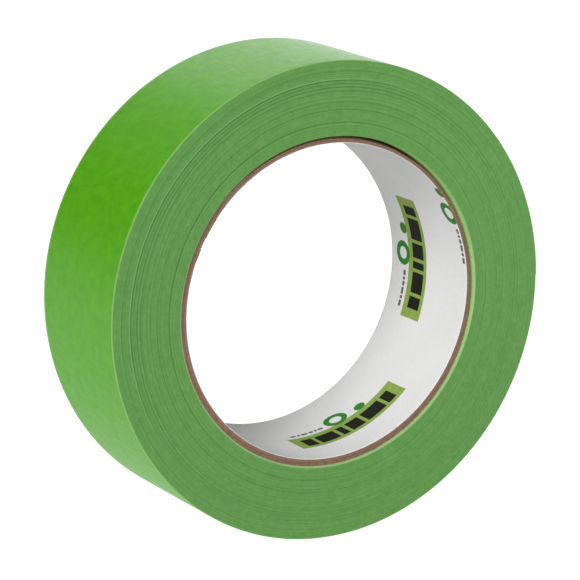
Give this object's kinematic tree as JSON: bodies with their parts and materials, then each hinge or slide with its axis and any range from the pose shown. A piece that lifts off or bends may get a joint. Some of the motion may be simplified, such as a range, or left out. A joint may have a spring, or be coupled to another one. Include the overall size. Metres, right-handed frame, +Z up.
{
  "type": "masking tape roll",
  "caption": "Roll of green crepe masking tape wound on a white-lined paper core, standing on its edge, with a free end that peels up.",
  "frame": {"origin": "where the roll touches the surface that it stands on, halfway across its width, below the roll's axis", "axes": "+Z up, +Y along the roll's axis from its front face to its back face, +X to the right seen from the front; the tape ends at three o'clock on the +X side"},
  "size_m": [0.1155, 0.036, 0.1154],
  "materials": {
    "liner_paper": "coated white paper, satin, printed",
    "core_board": "brown core board, matt, cut edge",
    "tape_face": "green crepe paper, finely creped, soft sheen"
  },
  "bodies": {
    "roll": {"core_liner": "liner_paper", "core_ply_inner": "core_board", "core_ply_middle": "core_board", "core_ply_outer": "core_board", "wound_tape": "tape_face"},
    "end_root": {"tape_end_root": "tape_face"},
    "end_middle": {"tape_end_middle": "tape_face"},
    "end_tip": {"tape_end_tip": "tape_face"}
  },
  "joints": [
    {"name": "tape_end_peel", "type": "hinge", "parent": "roll", "child": "end_root", "pos_m": [0.04674, 0, 0.09159], "axis": [0, -1, 0], "range_deg": [0, 150]},
    {"name": "tape_end_straighten_middle", "type": "hinge", "parent": "end_root", "child": "end_middle", "pos_m": [0.05277, 0, 0.08114], "axis": [0, -1, 0], "range_deg": [0, 12]},
    {"name": "tape_end_straighten_tip", "type": "hinge", "parent": "end_middle", "child": "end_tip", "pos_m": [0.0565, 0, 0.06966], "axis": [0, -1, 0], "range_deg": [0, 12]}
  ],
  "couplings": [
    {"joint": "tape_end_straighten_middle", "follows": "tape_end_peel", "ratio": 0.08},
    {"joint": "tape_end_straighten_tip", "follows": "tape_end_peel", "ratio": 0.08}
  ]
}
